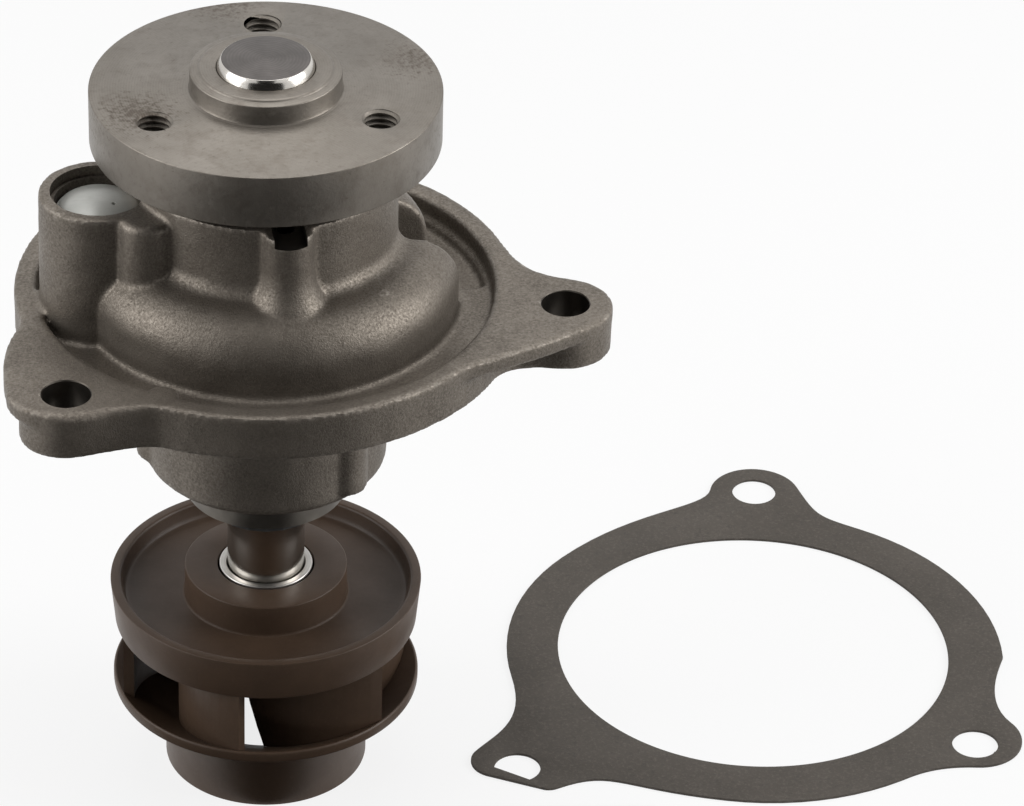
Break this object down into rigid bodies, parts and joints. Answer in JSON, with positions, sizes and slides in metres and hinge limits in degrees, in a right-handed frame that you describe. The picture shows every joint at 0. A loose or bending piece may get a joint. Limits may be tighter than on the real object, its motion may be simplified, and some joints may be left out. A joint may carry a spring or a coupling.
{
  "type": "engine water pump",
  "caption": "Engine coolant pump: cast housing with bolt ears and volute, bearing and seal on a driven shaft, pulley flange, shrouded plastic impeller and loose paper gasket.",
  "frame": {"origin": "middle of the shaft's pulley end", "axes": "+Z along the shaft, out of the pulley end; -Y towards the side with the weep rib; +X towards the right bolt ear"},
  "size_m": [0.1689, 0.1238, 0.1333],
  "materials": {
    "cast_iron": "as cast, sandy, bright where machined",
    "cap_plastic": "moulded, satin",
    "turned_steel": "turned, lightly stained",
    "ground_steel": "ground",
    "pressed_sheet": "pressed stainless sheet and wire",
    "bearing_steel": "hardened and ground",
    "seal_rubber": "moulded",
    "cage_nylon": "moulded",
    "carbon": "lapped carbon graphite",
    "seat_ceramic": "lapped",
    "brown_plastic": "glass-filled moulding, satin",
    "gasket_paper": "fibre sheet, fine speckle"
  },
  "bodies": {
    "housing_body": {"housing": "cast_iron", "weep_reservoir_cap": "cap_plastic", "bearing_outer_race": "bearing_steel", "bearing_seal_front": "seal_rubber", "bearing_seal_rear": "seal_rubber", "seal_cup": "pressed_sheet", "seal_bellows": "seal_rubber", "seal_spring": "pressed_sheet", "carbon_ring": "carbon"},
    "rotor": {"shaft": "ground_steel", "drive_flange": "turned_steel", "slinger": "pressed_sheet", "seat_ring": "seat_ceramic", "seat_boot": "seal_rubber", "impeller_insert": "ground_steel", "impeller_disc": "brown_plastic", "impeller_shroud": "brown_plastic"},
    "ball_row": {"ball_1": "bearing_steel", "ball_2": "bearing_steel", "ball_3": "bearing_steel", "ball_4": "bearing_steel", "ball_5": "bearing_steel", "ball_6": "bearing_steel", "ball_7": "bearing_steel", "ball_8": "bearing_steel", "ball_cage": "cage_nylon"},
    "roller_row": {"roller_1": "bearing_steel", "roller_2": "bearing_steel", "roller_3": "bearing_steel", "roller_4": "bearing_steel", "roller_5": "bearing_steel", "roller_6": "bearing_steel", "roller_7": "bearing_steel", "roller_8": "bearing_steel", "roller_cage": "cage_nylon"},
    "gasket_body": {"gasket": "gasket_paper"}
  },
  "joints": [
    {"name": "shaft_spin", "type": "hinge", "parent": "housing_body", "child": "rotor", "pos_m": [0, 0, 0], "axis": [0, 0, 1], "continuous": true},
    {"name": "ball_row_orbit", "type": "hinge", "parent": "housing_body", "child": "ball_row", "pos_m": [0, 0, 0], "axis": [0, 0, 1], "continuous": true},
    {"name": "roller_row_orbit", "type": "hinge", "parent": "housing_body", "child": "roller_row", "pos_m": [0, 0, 0], "axis": [0, 0, 1], "continuous": true},
    {"name": "gasket_lift", "type": "slide", "parent": "housing_body", "child": "gasket_body", "axis": [0, 0, 1], "range_m": [0, 0.02]}
  ],
  "couplings": [
    {"joint": "ball_row_orbit", "follows": "shaft_spin", "ratio": 0.3558},
    {"joint": "roller_row_orbit", "follows": "shaft_spin", "ratio": 0.399}
  ]
}
